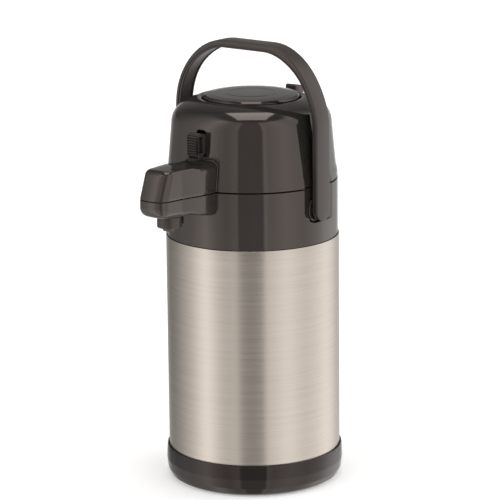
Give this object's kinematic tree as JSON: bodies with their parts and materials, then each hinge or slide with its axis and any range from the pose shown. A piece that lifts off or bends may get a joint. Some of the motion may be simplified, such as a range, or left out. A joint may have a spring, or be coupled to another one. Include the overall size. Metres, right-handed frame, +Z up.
{
  "type": "thermal coffee airpot",
  "caption": "Tall insulated drinks dispenser with a brushed steel body, black base and collar, front spout, push-button pump lid hinged at the rear and a bail carry handle.",
  "frame": {"origin": "centre of the base's underside, on the surface that the pot stands on", "axes": "+Z up the pot's axis, -Y towards the spout, +Y towards the lid hinge, X along the handle's pivots"},
  "size_m": [0.161, 0.2295, 0.4],
  "materials": {
    "gloss_black": "glossy moulded plastic, very dark warm black, sharp soft-box reflections",
    "satin_black": "satin moulded plastic, very dark warm grey",
    "brushed_sleeve": "stainless steel brushed around the body, warm tone",
    "bright_steel": "plain bright steel",
    "silvered_glass": "silvered glass of the vacuum flask",
    "black_rubber": "matte black rubber",
    "silicone": "translucent off-white silicone",
    "inner_plastic": "plain dark moulded plastic of the inner parts"
  },
  "bodies": {
    "pot": {"foot_pad": "black_rubber", "base_cup": "gloss_black", "outer_shell": "brushed_sleeve", "flask_outer_wall": "silvered_glass", "flask_inner_wall": "silvered_glass", "flask_cushion": "black_rubber", "neck_ring": "inner_plastic", "neck_gasket": "silicone", "collar": "gloss_black", "hinge_pin": "bright_steel", "latch_catch": "bright_steel", "spout_lower": "gloss_black", "spout_cover": "gloss_black", "nozzle_collar": "satin_black", "spout_pipe": "inner_plastic", "pipe_grommet": "silicone", "stem_head": "inner_plastic", "dip_tube": "inner_plastic", "pivot_washer_right": "inner_plastic", "pivot_washer_left": "inner_plastic"},
    "handle": {"carry_handle": "satin_black", "pivot_pin_right": "bright_steel", "pivot_pin_left": "bright_steel", "pivot_clip_right": "bright_steel", "pivot_clip_left": "bright_steel"},
    "lid": {"lid_shell": "gloss_black", "lid_base_plate": "inner_plastic", "lid_gasket": "silicone", "lid_screw_1": "bright_steel", "lid_screw_2": "bright_steel", "lid_screw_3": "bright_steel", "lid_screw_4": "bright_steel", "button_guide": "inner_plastic", "bellows": "black_rubber", "bellows_spring": "bright_steel", "latch_pin": "bright_steel", "latch_spring": "bright_steel"},
    "button": {"push_button": "gloss_black", "button_plate": "inner_plastic", "valve_seal": "silicone"},
    "latch": {"latch_lever": "satin_black"},
    "lock": {"lock_slider": "satin_black"}
  },
  "joints": [
    {"name": "lid_open", "type": "hinge", "parent": "pot", "child": "lid", "pos_m": [0, 0.08, 0.2775], "axis": [-1, 0, 0], "range_deg": [0, 40]},
    {"name": "handle_swing", "type": "hinge", "parent": "pot", "child": "handle", "pos_m": [0, 0, 0.256], "axis": [1, 0, 0], "range_deg": [-90, 60]},
    {"name": "button_press", "type": "slide", "parent": "lid", "child": "button", "axis": [0, 0, -1], "range_m": [0, 0.028], "stiffness_N_per_m": 220, "springref_m": -0.008, "deforming": ["bellows", "bellows_spring"]},
    {"name": "latch_lift", "type": "hinge", "parent": "lid", "child": "latch", "pos_m": [0, -0.066, 0.322], "axis": [-1, 0, 0], "range_deg": [0, 6], "stiffness_Nm_per_rad": 0.4, "springref_deg": -5.73},
    {"name": "lock_slide", "type": "slide", "parent": "lid", "child": "lock", "axis": [0, -0.931, 0.365], "range_m": [0, 0.004]}
  ],
  "couplings": [
    {"joint": "handle_swing", "follows": "lid_open", "ratio": -2.25}
  ]
}
